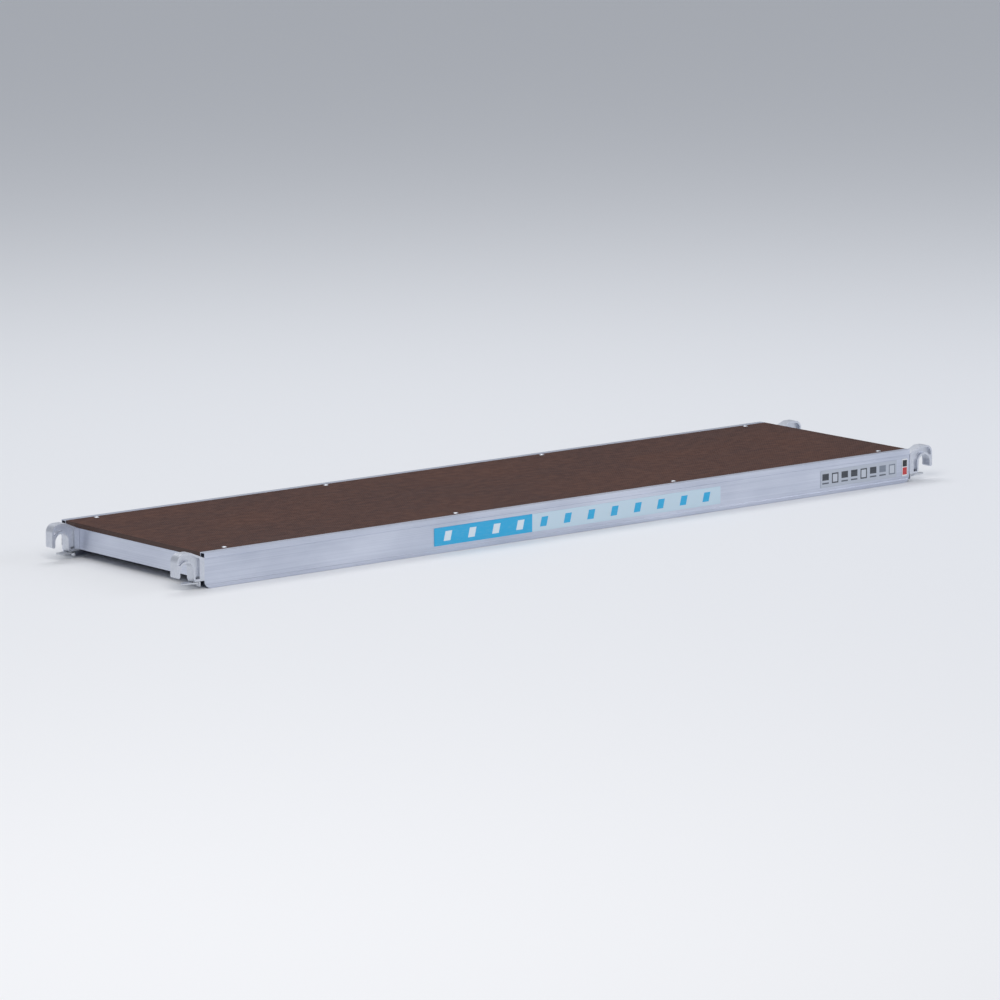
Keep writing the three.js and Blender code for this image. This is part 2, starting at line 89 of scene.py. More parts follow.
class End(Facing):
    """An end of the plank, which faces along X."""

    LEFT = ("left", -1)
    RIGHT = ("right", 1)


class Side(Facing):
    """A side of the plank, which faces along Y."""

    FRONT = ("front", -1)
    BACK = ("back", 1)


# A grain's size in millimetres, its octaves, and the way it is drawn out and how far, if it is.
Grain = tuple[float, float] | tuple[float, float, Run, float]


# ---- Node trees ----


def linear(code: str) -> tuple[float, float, float, float]:
    """Turns an sRGB hex code into a linear colour.

    Args:
        code: A colour such as "#b4bccb".

    Returns:
        Red, green, blue and an alpha of 1, as the shaders take them.
    """
    values = [int(code[i:i + 2], 16) / 255 for i in (1, 3, 5)]
    red, green, blue = (v / 12.92 if v <= 0.04045 else ((v + 0.055) / 1.055) ** 2.4 for v in values)
    return (red, green, blue, 1.0)


def add_node(
    tree: Tree, kind: str, inputs: dict | Sequence = (), stops: Sequence[tuple[float, str]] = (), **settings,
) -> Node:
    """Adds a node with its settings and links.

    Args:
        tree: The material's node tree.
        kind: The node's type name without the ShaderNode prefix.
        inputs: What goes into its sockets, by name or in their order: a number, an sRGB hex
            code, a socket, or a node, which gives its first output.
        stops: A colour ramp's stops, each a place from 0 to 1 with an sRGB hex code.
        **settings: The node's own properties.

    Returns:
        The new node.
    """
    node = tree.nodes.new("ShaderNode" + kind)
    for key, value in settings.items():
        setattr(node, key, value)
    for key, value in inputs.items() if isinstance(inputs, dict) else enumerate(inputs):
        if isinstance(value, Node):
            value = next(output for output in value.outputs if not output.is_unavailable)
        if isinstance(value, Socket):
            tree.links.new(value, node.inputs[key])
        else:
            node.inputs[key].default_value = linear(value) if isinstance(value, str) else value
    for i, (position, code) in enumerate(stops):
        element = node.color_ramp.elements[i] if i < 2 else node.color_ramp.elements.new(position)
        element.position, element.color = position, linear(code)
    return node


def grain(
    tree: Tree, place: Socket, size_mm: float, detail: float, along: Run | None = None, draw_out: float = 1.0,
) -> Node:
    """Lays noise with grains of a real size, drawn out along a direction if asked.

    Args:
        tree: The material's node tree.
        place: Object coordinates, in metres.
        size_mm: The grain's size across.
        detail: Octaves of finer noise.
        along: The direction that the grains are drawn out in.
        draw_out: How many times longer than wide they are.

    Returns:
        The noise, from 0 to 1.
    """
    scale = 1 / (size_mm * MM)
    axes = along.value if along else (0, 0, 0)
    mapped = add_node(tree, "Mapping", {
        "Vector": place, "Scale": [scale / (draw_out if axis else 1) for axis in axes],
    })
    return add_node(tree, "TexNoise", {"Vector": mapped, "Scale": 1.0, "Detail": detail})


def panel(tree: Tree, spans_of: Sequence[tuple[Socket | Node, float, float]]) -> Node:
    """Marks out a printed panel.

    Args:
        tree: The material's node tree.
        spans_of: Each measure with the lowest and the highest value that the panel takes in.

    Returns:
        1 inside the panel and 0 outside it.
    """
    inside = [
        add_node(tree, "Math", [value, (low + high) / 2, (high - low) / 2], operation="COMPARE")
        for value, low, high in spans_of
    ]
    product = inside[0]
    for factor in inside[1:]:
        product = add_node(tree, "Math", [product, factor], operation="MULTIPLY")
    return product


# ---- Finishes ----


@dataclass(frozen=True)
class Finish:
    """A surface finish. Each kind says what goes into its shader."""

    name: str  # the material's name, after what the surface is
    slot: str  # the record's material slot that it belongs to

    def material(self) -> bpy.types.Material:
        """Makes the material, or gives the one made before.

        Returns:
            The material.
        """
        made = bpy.data.materials.get(self.name)
        if made is None:
            made = bpy.data.materials.new(self.name)
            made.use_nodes = True
            tree = made.node_tree
            tree.nodes.clear()
            place = add_node(tree, "TexCoord").outputs["Object"]
            shader = add_node(tree, "BsdfPrincipled", self.surface(tree, place))
            add_node(tree, "OutputMaterial", {"Surface": shader})
        return made

    def surface(self, tree: Tree, place: Socket) -> dict:
        """Works out the surface; each kind of finish has its own.

        Args:
            tree: The material's node tree.
            place: Object coordinates, in metres.

        Returns:
            What goes into the shader's sockets, by their names.
        """
        raise NotImplementedError


@dataclass(frozen=True)
class ExtrudedAluminium(Finish):
    """Mill-finish extrusion: long fine die lines, a satin sheen and faint cloudy oxide."""

    run: Run = Run.ALONG_X  # the way the extrusion left its die
    bright: str = "#d9deeb"  # the cleanest metal
    dull: str = "#c3c9d8"  # metal under a little more oxide
    roughness: float = 0.36  # the middle of its roughness

    def surface(self, tree: Tree, place: Socket) -> dict:
        """Works out satin metal whose highlights smear across the die lines.

        Args:
            tree: The material's node tree.
            place: Object coordinates, in metres.

        Returns:
            What goes into the shader's sockets, by their names.
        """
        # Die lines are about 0.3 mm apart; drawn 1.5 mm so that they show.
        lines = grain(tree, place, 1.5, 2.0, self.run, 300.0)
        # Oxide clouds the metal in patches of about a hand's width.
        clouds = grain(tree, place, 110.0, 4.0, self.run, 2.5)
        # Handling leaves short rubs along the length.
        rubs = grain(tree, place, 5.0, 5.0, self.run, 14.0)
        blend = add_node(tree, "Mix", {"Factor": 0.35, "A": clouds, "B": lines}, data_type="FLOAT")
        satin = add_node(tree, "MapRange", [blend, 0.3, 0.7, self.roughness + 0.07, self.roughness - 0.06])
        scuffs = add_node(tree, "MapRange", [rubs, 0.58, 0.72, 0.0, 0.12])
        return {
            "Metallic": 1.0,
            "Base Color": add_node(tree, "ValToRGB", [blend], [(0.36, self.dull), (0.62, self.bright)]),
            "Roughness": add_node(tree, "Math", [satin, scuffs], operation="ADD"),
            "Normal": add_node(tree, "Bump", {"Height": lines, "Distance": 0.05 * MM, "Strength": 0.5}),
        }


@dataclass(frozen=True)
class GrainedSurface(Finish):
    """A plain surface, metal unless said otherwise, whose tone, sheen and relief each follow a grain."""

    tone: Grain  # the grain that its tone drifts with
    shades: tuple[tuple[float, str], ...]  # the tone's colours, as a colour ramp's stops
    sheen: Grain  # the grain that its roughness follows
    # from one value of that grain to another, and the roughness at each
    roughness: tuple[float, float, float, float]
    # grains that stand out of it, each with its height in millimetres and its strength
    relief: tuple[tuple[Grain, float, float], ...] = ()
    metallic: float = 1.0  # whether it is bare metal, 1, or not, 0
    coat: float = 0.0  # the weight of its glossy coat

    def surface(self, tree: Tree, place: Socket) -> dict:
        """Works out the tone, the sheen and the relief.

        Args:
            tree: The material's node tree.
            place: Object coordinates, in metres.

        Returns:
            What goes into the shader's sockets, by their names.
        """
        inputs = {
            "Metallic": self.metallic,
            "Coat Weight": self.coat,
            "Base Color": add_node(tree, "ValToRGB", [grain(tree, place, *self.tone)], self.shades),
            "Roughness": add_node(tree, "MapRange", [grain(tree, place, *self.sheen), *self.roughness]),
        }
        under = {}
        for relief, height_mm, strength in self.relief:
            height = grain(tree, place, *relief)
            bump = {"Height": height, "Distance": height_mm * MM, "Strength": strength}
            under = {"Normal": add_node(tree, "Bump", bump | under)}
        return inputs | under


@dataclass(frozen=True)
class MeshFacedFilm(Finish):
    """Phenolic film pressed with a wire mesh: the slip-resistant top of the board."""

    valley: str = "#2e1812"  # the brown between the wires' prints, darkened as painted shade in the mesh's recesses
    crest: str = "#4d2d25"  # the rubbed crests
    dust: str = "#674639"  # dry dust that gathers between them
    pitch_mm: float = 7.0  # the mesh's pitch. The real one is about 5 mm; drawn wider to show

    def surface(self, tree: Tree, place: Socket) -> dict:
        """Works out dark brown, low-sheen film with a diamond mesh and trodden patches.

        Args:
            tree: The material's node tree.
            place: Object coordinates, in metres.

        Returns:
            What goes into the shader's sockets, by their names.
        """
        split = add_node(tree, "SeparateXYZ", [place])
        turn = 2 * math.pi / (self.pitch_mm * MM)
        ridges = []
        for operation in ("ADD", "SUBTRACT"):
            slant = add_node(tree, "Math", [split.outputs["X"], split.outputs["Y"]], operation=operation)
            phase = add_node(tree, "Math", [slant, turn], operation="MULTIPLY")
            ridges.append(add_node(tree, "Math", [phase], operation="COSINE"))
        mesh = add_node(tree, "Math", ridges, operation="MAXIMUM")
        height = add_node(tree, "MapRange", [mesh, 0.2, 0.95, 0.0, 1.0])
        # Feet wear the film in patches of about a stride.
        worn = grain(tree, place, 160.0, 5.0, Run.ALONG_X, 2.0)
        # Resin pools and thins over patches of a thumb's width, which mottles the brown.
        mottle = grain(tree, place, 18.0, 4.0, Run.ALONG_X, 1.8)
        speckle = grain(tree, place, 2.2, 3.0)
        trodden = add_node(tree, "Math", [
            add_node(tree, "MapRange", [worn, 0.4, 0.7, 0.0, 0.35]),
            add_node(tree, "MapRange", [mottle, 0.38, 0.66, 0.0, 0.5]),
        ], operation="ADD")
        amount = add_node(tree, "Math", [
            trodden, add_node(tree, "MapRange", [speckle, 0.35, 0.65, 0.45, 1.0]),
        ], operation="MULTIPLY")
        # The brown follows the mesh's height: the rubbed crests take the lighter brown, and the valleys
        # between them are darkened as painted shade.
        brown = add_node(tree, "ValToRGB", [height], [(0.0, self.valley), (1.0, self.crest)])
        pressed = add_node(tree, "Bump", {"Height": height, "Distance": 0.35 * MM, "Strength": 0.7})
        dusty = {"Factor": amount, "A": brown, "B": self.dust}
        return {
            "Base Color": add_node(tree, "Mix", dusty, data_type="RGBA"),
            "Specular IOR Level": 0.14,
            "Roughness": add_node(tree, "MapRange", [worn, 0.0, 1.0, 0.5, 0.72]),
            "Normal": add_node(tree, "Bump", {
                "Height": speckle, "Distance": 0.08 * MM, "Strength": 0.5, "Normal": pressed,
            }),
        }


@dataclass(frozen=True)
class SealedPlyEdge(Finish):
    """Sawn birch plywood edge under brown sealer: thin plies of two tones."""

    long_grain: str = "#5b4037"  # plies cut along the grain
    end_grain: str = "#402b26"  # plies cut across it, which drink more sealer
    glue: str = "#241714"  # the dark glue lines
    ply_mm: float = 1.33  # the thickness of one ply

    def surface(self, tree: Tree, place: Socket) -> dict:
        """Works out layered brown wood with saw marks.

        Args:
            tree: The material's node tree.
            place: Object coordinates, in metres.

        Returns:
            What goes into the shader's sockets, by their names.
        """
        split = add_node(tree, "SeparateXYZ", [place])
        turn = math.pi / (self.ply_mm * MM)
        phase = add_node(tree, "Math", [split.outputs["Z"], turn], operation="MULTIPLY")
        wave = add_node(tree, "Math", [phase], operation="SINE")
        plies = add_node(tree, "ValToRGB", [add_node(tree, "MapRange", [wave, -1.0, 1.0, 0.0, 1.0])], [
            (0.0, self.end_grain), (0.46, self.glue), (0.54, self.glue), (1.0, self.long_grain),
        ])
        fibre = grain(tree, place, 0.9, 3.0)
        fibres = add_node(tree, "ValToRGB", [fibre], [(0.3, self.glue), (0.7, self.long_grain)])
        return {
            "Base Color": add_node(tree, "Mix", {"Factor": 0.3, "A": plies, "B": fibres}, data_type="RGBA"),
            "Roughness": 0.62,
            "Normal": add_node(tree, "Bump", {"Height": fibre, "Distance": 0.15 * MM, "Strength": 0.6}),
        }


@dataclass(frozen=True)
class PrintedVinyl(Finish):
    """Printed vinyl film: smooth, half-gloss, with flat areas of ink and no lettering."""

    left: float = 0.0  # the film's left end along X
    right: float = 1.0  # its right end
    middle: float = 0.0  # the height of its middle
    scuffed: str = "#c9ced6"  # the colour of faint scuffs

    def artwork(self, tree: Tree, x: Socket, z: Socket) -> Node:
        """Prints the film; each kind has its own artwork.

        Args:
            tree: The material's node tree.
            x: Place along the rail.
            z: Height.

        Returns:
            The colour.
        """
        raise NotImplementedError

    def surface(self, tree: Tree, place: Socket) -> dict:
        """Works out half-gloss film with its print and faint scuffs.

        Args:
            tree: The material's node tree.
            place: Object coordinates, in metres.

        Returns:
            What goes into the shader's sockets, by their names.
        """
        split = add_node(tree, "SeparateXYZ", [place])
        printed = self.artwork(tree, split.outputs["X"], split.outputs["Z"])
        scuffs = grain(tree, place, 3.0, 4.0, Run.ALONG_X, 6.0)
        faded = add_node(tree, "MapRange", [scuffs, 0.5, 0.8, 0.0, 0.09])
        return {
            "Base Color": add_node(tree, "Mix", {
                "Factor": faded, "A": printed, "B": self.scuffed,
            }, data_type="RGBA"),
            "Roughness": add_node(tree, "MapRange", [scuffs, 0.0, 1.0, 0.3, 0.46]),
        }


@dataclass(frozen=True)
class StripPrint(PrintedVinyl):
    """The long strip: a blue block with slanted pale bars, then a pale run with slanted blue ones."""

    block: float = 325 * MM  # the blue block's length
    pitch: float = 80 * MM  # from one bar to the next
    bar: float = 22 * MM  # a bar's width
    tall: float = 25 * MM  # a bar's height
    lean: float = 0.25  # how far a bar leans for each unit of its height
    left_margin: float = 12 * MM  # clear film before the first bar
    right_margin: float = 8 * MM  # clear film after the last one
    blue: str = "#2badde"  # the blue ink
    pale: str = "#c6dbe8"  # the pale ground
    white: str = "#dce9f1"  # the bars on the blue block

    def artwork(self, tree: Tree, x: Socket, z: Socket) -> Node:
        """Prints the block and both runs of bars; the bars repeat down the whole strip.

        Args:
            tree: The material's node tree.
            x: Place along the rail.
            z: Height.

        Returns:
            The colour.
        """
        block_end = self.left + self.block
        in_block = add_node(tree, "Math", [x, block_end], operation="LESS_THAN")
        ground, bars = (
            add_node(tree, "Mix", {"Factor": in_block, "A": outside, "B": inside}, data_type="RGBA")
            for outside, inside in ((self.pale, self.blue), (self.blue, self.white))
        )
        upright = add_node(tree, "Math", [z, self.middle], operation="SUBTRACT")
        leaning = add_node(tree, "Math", [upright, -self.lean, x], operation="MULTIPLY_ADD")
        from_end = add_node(tree, "Math", [leaning, block_end], operation="SUBTRACT")
        repeat = add_node(tree, "Math", [from_end, self.pitch], operation="FLOORED_MODULO")
        printed = panel(tree, [
            (repeat, (self.pitch - self.bar) / 2, (self.pitch + self.bar) / 2),
            (z, self.middle - self.tall / 2, self.middle + self.tall / 2),
            (x, self.left + self.left_margin, self.right - self.right_margin),
        ])
        return add_node(tree, "Mix", {"Factor": printed, "A": ground, "B": bars}, data_type="RGBA")


@dataclass(frozen=True)
class InfoPrint(PrintedVinyl):
    """The data label: a row of plain dark blocks and hollow frames on a pale ground."""

    fields: int = 8  # how many fields it has
    faint_fields: int = 2  # how many of the last ones are printed faintly
    half_tall: float = 14 * MM  # half a frame's height
    half_wide: float = 0.34  # half a field's width, as a share of the pitch
    line: float = 3.5 * MM  # the width of a frame's line
    block_foot: float = 4 * MM  # how far below the middle a block reaches
    bar_tall: float = 4 * MM  # the height of the bar under a block
    ground: str = "#b9c0cc"  # the pale ground
    clear: str = "#c3c9d3"  # the inside of a frame
    dark: str = "#3b4048"  # the ink of the blocks and frames
    faint: str = "#7e8794"  # the ink of the faint ones
    bar_ink: str = "#5b626d"  # the ink of the bars

    def artwork(self, tree: Tree, x: Socket, z: Socket) -> Node:
        """Prints the fields: every third one a hollow frame, the others a block with a bar below.

        Args:
            tree: The material's node tree.
            x: Place along the rail.
            z: Height.

        Returns:
            The colour.
        """
        pitch = (self.right - self.left) / self.fields
        half, foot, top = self.half_wide * pitch, self.middle - self.half_tall, self.middle + self.half_tall
        printed: Node | str = self.ground
        for i in range(self.fields):
            centre = self.left + (i + 0.5) * pitch
            left, right = centre - half, centre + half
            hollow = i % 3 == 1
            ink = self.dark if i < self.fields - self.faint_fields else self.faint
            block_low = foot if hollow else self.middle - self.block_foot
            marks = [(ink, left, right, block_low, top)]
            if hollow:
                line = self.line
                marks.append((self.clear, left + line, right - line, foot + line, top - line))
            else:
                marks.append((self.bar_ink, left, right, foot, foot + self.bar_tall))
            for code, west, east, low, high in marks:
                mark = panel(tree, [(x, west, east), (z, low, high)])
                printed = add_node(tree, "Mix", {"Factor": mark, "A": printed, "B": code}, data_type="RGBA")
        return printed


@dataclass(frozen=True)
class MarkerPrint(PrintedVinyl):
    """The end marker: a black field over a red one on white."""

    half_wide: float = 8 * MM  # half a field's width
    reach: float = 20 * MM  # how far the fields reach above and below the middle
    gap: float = 2 * MM  # the white between them
    white: str = "#e6e9ec"  # the ground
    black: str = "#22242a"  # the upper field
    red: str = "#c23a3d"  # the lower field

    def artwork(self, tree: Tree, x: Socket, z: Socket) -> Node:
        """Prints the two fields.

        Args:
            tree: The material's node tree.
            x: Place along the rail.
            z: Height.

        Returns:
            The colour.
        """
        centre = (self.left + self.right) / 2
        printed: Node | str = self.white
        for code, low, high in (
            (self.black, self.middle + self.gap, self.middle + self.reach),
            (self.red, self.middle - self.reach, self.middle),
        ):
            mark = panel(tree, [(x, centre - self.half_wide, centre + self.half_wide), (z, low, high)])
            printed = add_node(tree, "Mix", {"Factor": mark, "A": printed, "B": code}, data_type="RGBA")
        return printed


# ---- Working at the bench ----


def deselect_all() -> None:
    """Leaves nothing selected."""
    if bpy.context.object and bpy.context.object.mode != "OBJECT":
        bpy.ops.object.mode_set(mode="OBJECT")
    bpy.ops.object.select_all(action="DESELECT")


def take(piece: Piece) -> None:
    """Makes a piece the one that is selected and active.

    Args:
        piece: The piece to take.
    """
    deselect_all()
    piece.select_set(True)
    bpy.context.view_layer.objects.active = piece


def seat(piece: Piece) -> None:
    """Puts a piece's place, turn and scale into its mesh."""
    take(piece)
    bpy.ops.object.transform_apply(location=True, rotation=True, scale=True)


def block(low: Sequence[float], high: Sequence[float]) -> Piece:
    """Adds a cube between two corners, ready to be shaped.

    Args:
        low: Its lowest corner.
        high: Its highest corner.

    Returns:
        The cube.
    """
    deselect_all()
    a, b = Vector(low), Vector(high)
    bpy.ops.mesh.primitive_cube_add(size=1, location=(a + b) / 2)
    piece = bpy.context.object
    piece.scale = b - a
    seat(piece)
    return piece


def rod(radius: float, start: Sequence[float], end: Sequence[float], sides: int = 32) -> Piece:
    """Adds a cylinder between two points, ready to be shaped.

    Args:
        radius: Its radius.
        start: The middle of one end.
        end: The middle of the other end.
        sides: Corners round it.

    Returns:
        The cylinder.
    """
    deselect_all()
    a, b = Vector(start), Vector(end)
    bpy.ops.mesh.primitive_cylinder_add(
        vertices=sides, radius=radius, depth=(b - a).length, location=(a + b) / 2,
        rotation=(b - a).to_track_quat("Z", "Y").to_euler(),
    )
    piece = bpy.context.object
    seat(piece)
    return piece


class Pick(Enum):
    """What an edit works on: its name in a mesh, and the select mode's switches."""

    VERTICES = ("verts", (True, False, False))
    EDGES = ("edges", (False, True, False))
    FACES = ("faces", (False, False, True))


@contextmanager
def edit(piece: Piece, kind: Pick, test: Callable[..., bool]) -> Iterator[None]:
    """Opens a piece in edit mode with only what passes a test selected, and closes it afterwards.

    Args:
        piece: The piece to open.
        kind: Vertices, edges or faces.
        test: Takes one of them and says whether it is wanted.

    Yields:
        Nothing: the operators in the block work on what is selected.
    """
    take(piece)
    bpy.ops.object.mode_set(mode="EDIT")
    part, mode = kind.value
    bpy.context.tool_settings.mesh_select_mode = mode
    bpy.ops.mesh.select_all(action="DESELECT")
    mesh = bmesh.from_edit_mesh(piece.data)
    for item in getattr(mesh, part):
        if test(item):
            item.select_set(True)
    mesh.select_flush_mode()
    bmesh.update_edit_mesh(piece.data)
    yield
    bpy.ops.object.mode_set(mode="OBJECT")


def everything(item: bmesh.types.BMVert | bmesh.types.BMEdge | bmesh.types.BMFace) -> bool:
    """Passes every vertex, edge or face."""
    return True


def spans(edge: bmesh.types.BMEdge, axis: int) -> bool:
    """Says whether an edge runs along an axis."""
    line = edge.verts[1].co - edge.verts[0].co
    return abs(line[axis]) > 0.99 * line.length


def near(point: Vector, **places: float) -> bool:
    """Says whether a point's x, y or z is within 0.05 mm of the places given."""
    return all(abs(getattr(point, axis) - place) < 0.05 * MM for axis, place in places.items())


def slice_off(piece: Piece, point: Sequence[float], normal: Sequence[float]) -> None:
    """Cuts away what lies past a plane and closes the cut.

    Args:
        piece: The piece to cut.
        point: A point on the plane.
        normal: The side that is cut away.
    """
    with edit(piece, Pick.FACES, everything):
        bpy.ops.mesh.bisect(plane_co=point, plane_no=normal, use_fill=True, clear_outer=True, threshold=1e-6)


def round_off(
    piece: Piece, radius: float, segments: int, test: Callable[[bmesh.types.BMEdge], bool],
    clamp: bool = True,
) -> None:
    """Bevels a piece's edges round.

    Args:
        piece: The piece to work on.
        radius: The bevel's width.
        segments: Steps across it.
        test: Says whether an edge is wanted.
        clamp: Whether the bevel stops where it meets another edge.
    """
    with edit(piece, Pick.EDGES, test):
        bpy.ops.mesh.bevel(offset=radius, segments=segments, affect="EDGES", clamp_overlap=clamp)


def draw_down(piece: Piece, distance: float, past: float = -math.inf) -> None:
    """Extrudes a piece's underside downwards.

    Args:
        piece: The piece to work on.
        distance: How far.
        past: Only faces whose middles lie past this x are drawn down.
    """
    with edit(piece, Pick.FACES, lambda f: f.normal.z < -0.9 and f.calc_center_median().x > past):
        bpy.ops.mesh.extrude_region_move(TRANSFORM_OT_translate={"value": (0, 0, -distance)})


def apply_modifier(piece: Piece, kind: str, **settings) -> None:
    """Adds a modifier with its settings and applies it.

    Args:
        piece: The piece to work on.
        kind: The modifier's type.
        **settings: The modifier's own properties.
    """
    take(piece)
    modifier = piece.modifiers.new(kind.title(), kind)
    for key, value in settings.items():
        setattr(modifier, key, value)
    bpy.ops.object.modifier_apply(modifier=modifier.name)


def combine(piece: Piece, tool: Piece, operation: str = "DIFFERENCE") -> None:
    """Cuts, joins or intersects a piece with a tool, and removes the tool.

    Args:
        piece: The piece that stays.
        tool: The solid it is worked with.
        operation: DIFFERENCE, UNION or INTERSECT.
    """
    apply_modifier(piece, "BOOLEAN", object=tool, operation=operation, solver="MANIFOLD")
    bpy.data.objects.remove(tool)


def smooth(piece: Piece, angle: float = 32.0) -> None:
    """Shades a piece smooth except across edges sharper than an angle.

    Args:
        piece: The piece to shade.
        angle: The angle, in degrees.
    """
    take(piece)
    bpy.ops.object.shade_smooth_by_angle(angle=math.radians(angle))
    apply_modifier(piece, "WEIGHTED_NORMAL", weight=100, keep_sharp=True)


def ease(piece: Piece, width: float, segments: int = 2, angle: float = 35.0) -> None:
    """Rounds every edge sharper than an angle, then shades the piece smooth between them.

    Args:
        piece: The piece to finish.
        width: How wide the rounding is.
        segments: Steps across it.
        angle: The least angle that is rounded, in degrees.
    """
    apply_modifier(
        piece, "BEVEL", width=width, segments=segments, limit_method="ANGLE",
        angle_limit=math.radians(angle), harden_normals=False, use_clamp_overlap=True,
    )
    smooth(piece)


def turned(profile: Sequence[tuple[float, float]], steps: int, closed: bool = False) -> Piece:
    """Turns a profile about the Z axis, as on a lathe.

    Args:
        profile: Points of radius and height.
        steps: Steps round the turn.
        closed: Whether the last point joins the first, as in a ring.

    Returns:
        The turned piece.
    """
    deselect_all()
    bpy.ops.mesh.primitive_plane_add(size=MM, location=(0, 0, 0))
    piece = bpy.context.object
    route = [*profile, profile[0]] if closed else list(profile)
    with edit(piece, Pick.VERTICES, everything):
        bpy.ops.mesh.merge(type="CENTER")
        bpy.ops.transform.translate(value=(profile[0][0], 0, profile[0][1]))
        for (r0, z0), (r1, z1) in zip(route, route[1:]):
            bpy.ops.mesh.extrude_region_move(TRANSFORM_OT_translate={"value": (r1 - r0, 0, z1 - z0)})
        bpy.ops.mesh.select_all(action="SELECT")
        bpy.ops.mesh.spin(steps=steps, angle=2 * math.pi, center=(0, 0, 0), axis=(0, 0, 1))
        bpy.ops.mesh.select_all(action="SELECT")
        bpy.ops.mesh.remove_doubles(threshold=0.001 * MM)
        bpy.ops.mesh.normals_make_consistent(inside=False)
    return piece


def weld_together(pieces: Sequence[Piece], name: str) -> Piece:
    """Joins pieces into one object.

    Args:
        pieces: The pieces to join.
        name: The joined object's name.

    Returns:
        The one object.
    """
    take(pieces[0])
    for piece in pieces[1:]:
        piece.select_set(True)
    bpy.ops.object.join()
    pieces[0].name = name
    return pieces[0]


def dress(piece: Piece, body: str, nodes: Sequence[str], *finishes: Finish) -> None:
    """Gives a piece its finishes and its body, and lets it stand for frame nodes.

    Args:
        piece: The finished piece.
        body: The body that it rides on.
        nodes: The frame nodes that it replaces.
        *finishes: Its finishes.
    """
    piece.data.materials.clear()
    for finish in finishes:
        piece.data.materials.append(finish.material())
    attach(piece, body)
    if nodes:
        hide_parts(*nodes)
    log.info("%s: %d faces on %s", piece.name, len(piece.data.polygons), body)


def copy_for(
    node: str, suffix: str, pattern: Piece, place: Matrix, finish: Finish, body: str = FIXED_BODY,
) -> None:
    """Puts a copy of a pattern, with its own mesh, in a frame node's stead.

    Args:
        node: The node that it replaces.
        suffix: What its name adds to the node's.
        pattern: The pattern piece.
        place: Where the copy goes from where the pattern stands.
        finish: Its finish.
        body: The body that it rides on.
    """
    twin = pattern.copy()
    twin.data = pattern.data.copy()
    twin.name = twin.data.name = f"{node}_{suffix}"
    bpy.context.scene.collection.objects.link(twin)
    twin.matrix_world = place
    seat(twin)
    dress(twin, body, [node], finish)


def rework(node: str, name: str, edge: float, *finishes: Finish, segments: int = 2) -> Piece:
    """Makes a frame node's loose triangles one skin of flat faces, rounds its edges and dresses it.

    Args:
        node: The node that the piece replaces.
        name: The piece's name.
        edge: How wide its edges are rounded.
        *finishes: Its finishes.
        segments: Steps across the rounding.

    Returns:
        The dressed piece.
    """
    piece = bpy.data.objects.new(name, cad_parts[node].data.copy())
    bpy.context.scene.collection.objects.link(piece)
    with edit(piece, Pick.VERTICES, everything):
        bpy.ops.mesh.remove_doubles(threshold=0.002 * MM)
        bpy.ops.mesh.customdata_custom_splitnormals_clear()
        bpy.ops.mesh.dissolve_limited(angle_limit=math.radians(0.5))
    ease(piece, edge, segments)
    dress(piece, FIXED_BODY, [node], *finishes)
    return piece


# ---- Finishes in use ----

RAIL_METAL = ExtrudedAluminium("mill_finish_extruded_aluminium", "rail_aluminium")
BEAM_METAL = ExtrudedAluminium("mill_finish_drawn_tube", "rail_aluminium", run=Run.ALONG_Y, roughness=0.4)
# Bright metal as it froze, with smutty patches the size of a bead.
SMUT = (4.0, 4.0)
WELD_METAL = GrainedSurface(
    "welded_aluminium", "rail_aluminium", SMUT, ((0.4, "#9da2ab"), (0.6, "#dfe2e8")),
    SMUT, (0.0, 1.0, 0.5, 0.3),
)
# The mould's sand leaves grains of 0.6 mm, drawn 0.9 mm so that they show; tumbling rubs
# soft patches of a few millimetres brighter.
SAND, RUBBED = (0.9, 2.0), (6.0, 3.0)
HOOK_METAL = GrainedSurface(
    "gravity_cast_aluminium", "cast_aluminium", RUBBED, ((0.3, "#d1d5de"), (0.75, "#dcdfe6")),
    RUBBED, (0.3, 0.7, 0.46, 0.4), ((SAND, 0.12, 0.6), (RUBBED, 0.1, 0.12)),
)
# Smooth bright metal, slightly uneven in tone, with faint rub marks of under a millimetre.
DRIFT, RUBS = (6.0, 3.0), (0.7, 2.0, Run.ALONG_X, 8.0)
ZINC = GrainedSurface(
    "bright_zinc_plate", "zinc_plated_steel", DRIFT, ((0.35, "#c7cbd3"), (0.65, "#d9dcdf")),
    RUBS, (0.0, 1.0, 0.21, 0.38), ((RUBS, 0.03, 0.5),),
)
RIVET_METAL = GrainedSurface(
    "plain_rivet_aluminium", "rivet_aluminium", DRIFT, ((0.35, "#cfd2da"), (0.65, "#dfe1e6")),
    RUBS, (0.0, 1.0, 0.27, 0.44), ((RUBS, 0.03, 0.5),),
)
BOARD_TOP = MeshFacedFilm("mesh_faced_phenolic_film", "film_faced_plywood")
# Resin drifts in the smooth film over patches of a hand's width.
RESIN = (70.0, 5.0, Run.ALONG_X, 3.0)
BOARD_UNDERSIDE = GrainedSurface(
    "smooth_phenolic_film", "film_faced_plywood", RESIN, ((0.3, "#3e2c26"), (0.8, "#574038")),
    RESIN, (0.0, 1.0, 0.34, 0.5), metallic=0.0, coat=0.15,
)
BOARD_EDGE = SealedPlyEdge("sealed_birch_ply_edge", "film_faced_plywood")


# ---- The frame and the board ----


